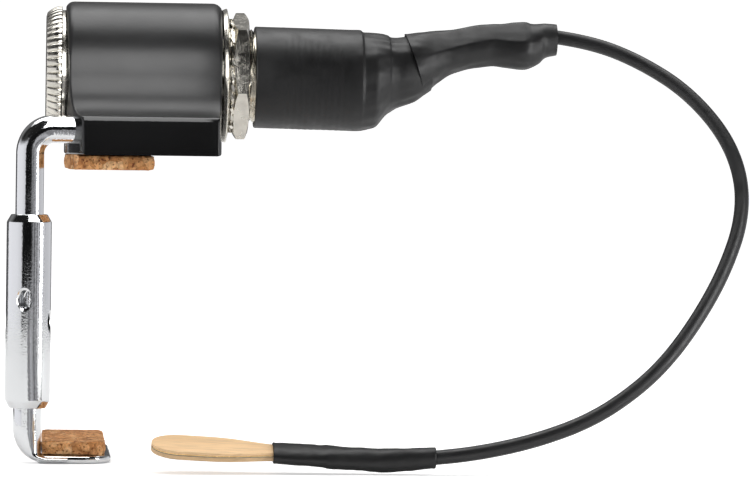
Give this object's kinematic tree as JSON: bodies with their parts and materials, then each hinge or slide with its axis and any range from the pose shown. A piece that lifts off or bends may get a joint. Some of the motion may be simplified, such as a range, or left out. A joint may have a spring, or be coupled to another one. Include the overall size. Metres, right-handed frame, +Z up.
{
  "type": "piezo pickup",
  "caption": "Clamp-on piezo pickup for a bowed instrument: a black jack housing on a turnbuckle clamp with cork pads, and a thin lead to a wooden pickup leaf.",
  "frame": {"origin": "centre of the upper cork pad's underside, the face that lies on the instrument's top", "axes": "+X along the jack's axis, from the plug's entry towards the lead; +Z up, away from the instrument's top; +Y across the clamp, away from the side the lead lies on"},
  "size_m": [0.0921, 0.0429, 0.0576],
  "materials": {
    "housing_black": "satin",
    "cork": "open grained, matte",
    "clamp_chrome": "polished",
    "nickel": "bright nickel plate",
    "phenolic": "matte",
    "contact_brass": "bright",
    "shrink_black": "matte",
    "lead_black": "satin",
    "copper": "bright",
    "leaf_wood": "sanded, satin",
    "film": "matte",
    "solder": "bright"
  },
  "bodies": {
    "main": {"housing": "housing_black", "upper_cork_pad": "cork", "near_upper_post": "clamp_chrome", "far_upper_post": "clamp_chrome", "jack_barrel": "nickel", "knurled_nut": "nickel", "flat_washer": "nickel", "lock_washer": "nickel", "hex_nut": "nickel", "rear_insulator": "phenolic", "contact_spring": "contact_brass", "ground_tag": "contact_brass", "large_shrink_tube": "shrink_black", "small_shrink_tube": "shrink_black", "lead_core": "copper", "lead_screen": "copper", "lead_inner_run": "lead_black", "lead": "lead_black", "element_sleeve": "shrink_black", "lower_wood_leaf": "leaf_wood", "piezo_film": "film", "copper_foil": "copper", "upper_wood_leaf": "leaf_wood", "solder_joints": "solder", "lead_end_wires": "copper"},
    "near_barrel": {"near_turnbuckle": "clamp_chrome"},
    "far_barrel": {"far_turnbuckle": "clamp_chrome"},
    "foot": {"foot_bracket": "clamp_chrome", "lower_cork_pad": "cork"}
  },
  "joints": [
    {"name": "clamp_opening", "type": "slide", "parent": "main", "child": "foot", "axis": [0, 0, -1], "range_m": [0, 0.008]},
    {"name": "near_turnbuckle_spin", "type": "hinge", "parent": "main", "child": "near_barrel", "pos_m": [-0.00965, -0.0105, -0.0176], "axis": [0, 0, 1], "range_deg": [0, 2401]},
    {"name": "far_turnbuckle_spin", "type": "hinge", "parent": "main", "child": "far_barrel", "pos_m": [-0.00965, 0.0105, -0.0176], "axis": [0, 0, 1], "range_deg": [0, 2401]}
  ],
  "couplings": [
    {"joint": "near_turnbuckle_spin", "follows": "clamp_opening", "rad_per_m": 5236},
    {"joint": "far_turnbuckle_spin", "follows": "clamp_opening", "rad_per_m": 5236}
  ]
}
